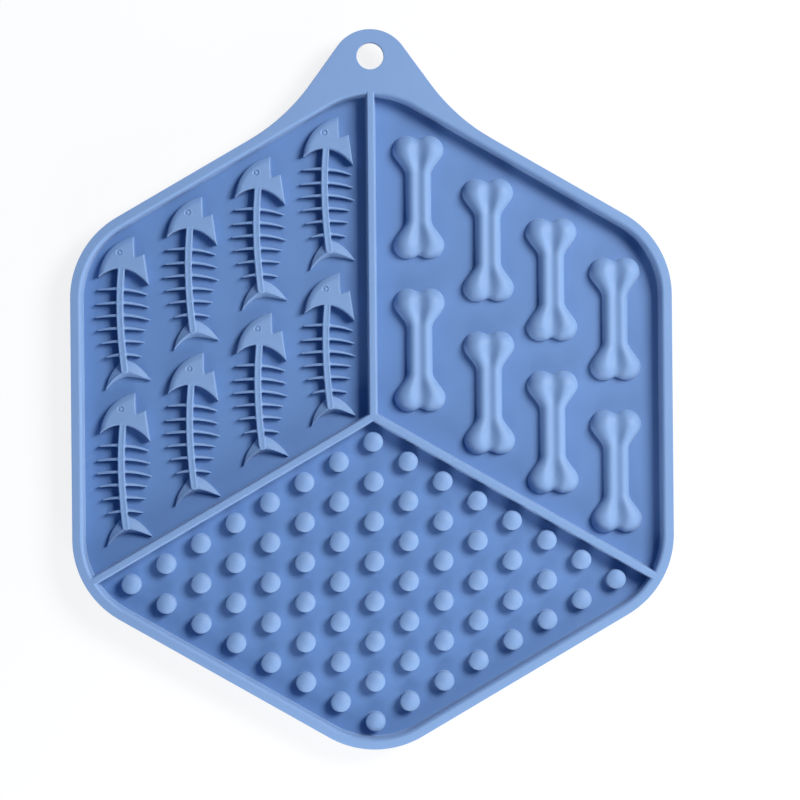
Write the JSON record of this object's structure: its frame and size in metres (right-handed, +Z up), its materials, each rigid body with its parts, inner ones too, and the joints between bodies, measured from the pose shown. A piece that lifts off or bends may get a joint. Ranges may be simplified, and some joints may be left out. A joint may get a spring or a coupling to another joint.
{
  "type": "lick mat",
  "caption": "Hexagonal silicone lick mat for pets: a shallow rimmed tray with a hanging tab, and walled fields of raised fishbones, bones and nubs. Suction cups hold it down.",
  "frame": {"origin": "middle of the part's outer box, on the plane that the suction cups stand on", "axes": "+Z up out of the tray, +Y from the mat's middle towards the hanging tab, +X to the right of the person who reads it with the tab at the top"},
  "size_m": [0.2, 0.2394, 0.01],
  "materials": {
    "silicone": "satin"
  },
  "bodies": {
    "root": {"mat_floor": "silicone", "rim": "silicone", "hanging_tab": "silicone", "divider_top": "silicone", "divider_left": "silicone", "divider_right": "silicone", "fishbone_1": "silicone", "fishbone_2": "silicone", "fishbone_3": "silicone", "fishbone_4": "silicone", "fishbone_5": "silicone", "fishbone_6": "silicone", "fishbone_7": "silicone", "fishbone_8": "silicone", "bone_1": "silicone", "bone_2": "silicone", "bone_3": "silicone", "bone_4": "silicone", "bone_5": "silicone", "bone_6": "silicone", "bone_7": "silicone", "bone_8": "silicone", "nub_row_1": "silicone", "nub_row_2": "silicone", "nub_row_3": "silicone", "nub_row_4": "silicone", "nub_row_5": "silicone", "nub_row_6": "silicone", "nub_row_7": "silicone", "nub_row_8": "silicone", "suction_cup_middle": "silicone", "suction_cups_inner": "silicone", "suction_cups_outer": "silicone"}
  },
  "joints": []
}
